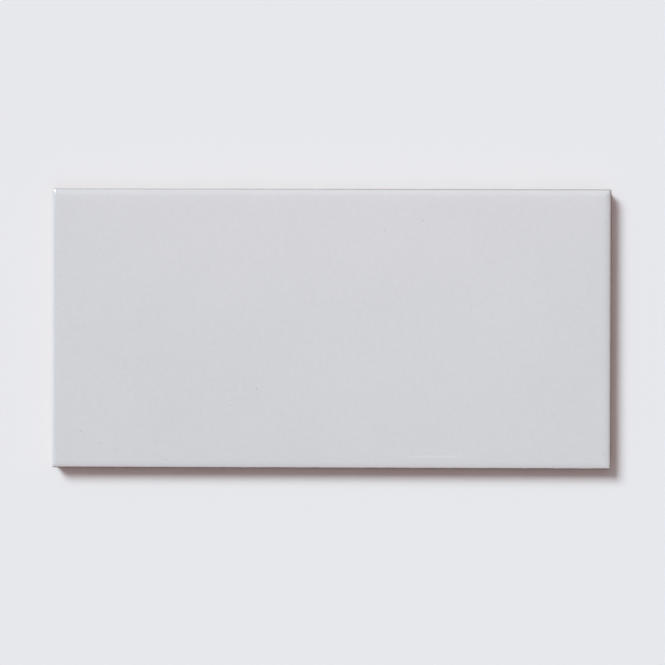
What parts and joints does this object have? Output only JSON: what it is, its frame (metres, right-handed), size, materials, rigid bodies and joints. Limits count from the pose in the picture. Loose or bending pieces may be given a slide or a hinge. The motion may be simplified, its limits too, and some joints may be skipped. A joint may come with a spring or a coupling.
{
  "type": "ceramic wall tile",
  "caption": "Flat rectangular glazed wall tile with cushioned face edges, slightly tapered sides and a waffle-keyed back for adhesive.",
  "frame": {"origin": "centre of the keyed back, on the plane that the tile lies on", "axes": "+X along the long side, +Y along the short side, +Z out of the glazed face"},
  "size_m": [0.2, 0.1, 0.007],
  "materials": {
    "glazed_body": "gloss"
  },
  "bodies": {
    "root": {"wall_tile": "glazed_body"}
  },
  "joints": []
}
